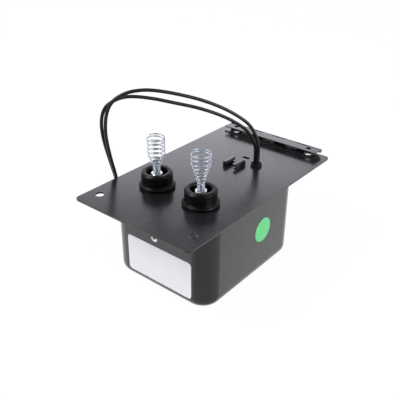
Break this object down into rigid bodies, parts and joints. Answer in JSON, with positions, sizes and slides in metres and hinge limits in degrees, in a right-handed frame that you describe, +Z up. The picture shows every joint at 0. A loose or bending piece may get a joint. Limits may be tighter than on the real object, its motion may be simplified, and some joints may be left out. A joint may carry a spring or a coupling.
{
  "type": "ignition transformer",
  "caption": "Oil-burner ignition transformer: drawn steel case under a hinged base plate, high-voltage bushings with flared contact springs, supply leads with stripped ends.",
  "frame": {"origin": "on the surface the case stands on, under the middle of the base plate", "axes": "+Z up through the bushings, +Y from the bushing end to the hinge, +X to the side with the round sticker"},
  "size_m": [0.1243, 0.19, 0.1503],
  "materials": {
    "black_paint": "satin black enamel on steel",
    "hinge_steel": "steel wire, painted over",
    "moulded_black": "moulded black phenolic, satin",
    "zinc_plate": "bright zinc plate",
    "nickel_plate": "bright nickel plate",
    "black_rubber": "moulded rubber",
    "lead_insulation": "extruded insulation, dull",
    "copper_strands": "bare copper",
    "white_label": "white film, no print",
    "green_sticker": "light green paper, no print",
    "core_steel": "stacked sheet steel",
    "pressed_paper": "pressed paper board",
    "wound_copper": "enamelled wire",
    "black_filling": "cast bitumen compound"
  },
  "bodies": {
    "root": {"case": "black_paint", "base_plate": "black_paint", "hinge_fixed_leaf": "black_paint", "hinge_pin": "hinge_steel", "bushing_left": "moulded_black", "bushing_right": "moulded_black", "terminal_stud_left": "zinc_plate", "terminal_stud_right": "zinc_plate", "terminal_nut_left": "nickel_plate", "terminal_nut_right": "nickel_plate", "contact_spring_left": "zinc_plate", "contact_spring_right": "zinc_plate", "lead_grommet": "black_rubber", "supply_lead_outer": "lead_insulation", "supply_lead_inner": "lead_insulation", "lead_bare_ends": "copper_strands", "lead_tails": "lead_insulation", "rating_label": "white_label", "round_sticker": "green_sticker", "earthing_rivet": "nickel_plate", "core_laminations": "core_steel", "magnetic_shunts": "core_steel", "coil_former": "pressed_paper", "primary_coil": "wound_copper", "secondary_coil_left": "wound_copper", "secondary_coil_right": "wound_copper", "secondary_wire_left": "copper_strands", "secondary_wire_right": "copper_strands", "potting_compound": "black_filling"},
    "mounting_leaf": {"hinge_swing_leaf": "black_paint"}
  },
  "joints": [
    {"name": "mounting_hinge", "type": "hinge", "parent": "root", "child": "mounting_leaf", "pos_m": [0, 0.0933, 0.0805], "axis": [-1, 0, 0], "range_deg": [-18, 180]}
  ]
}
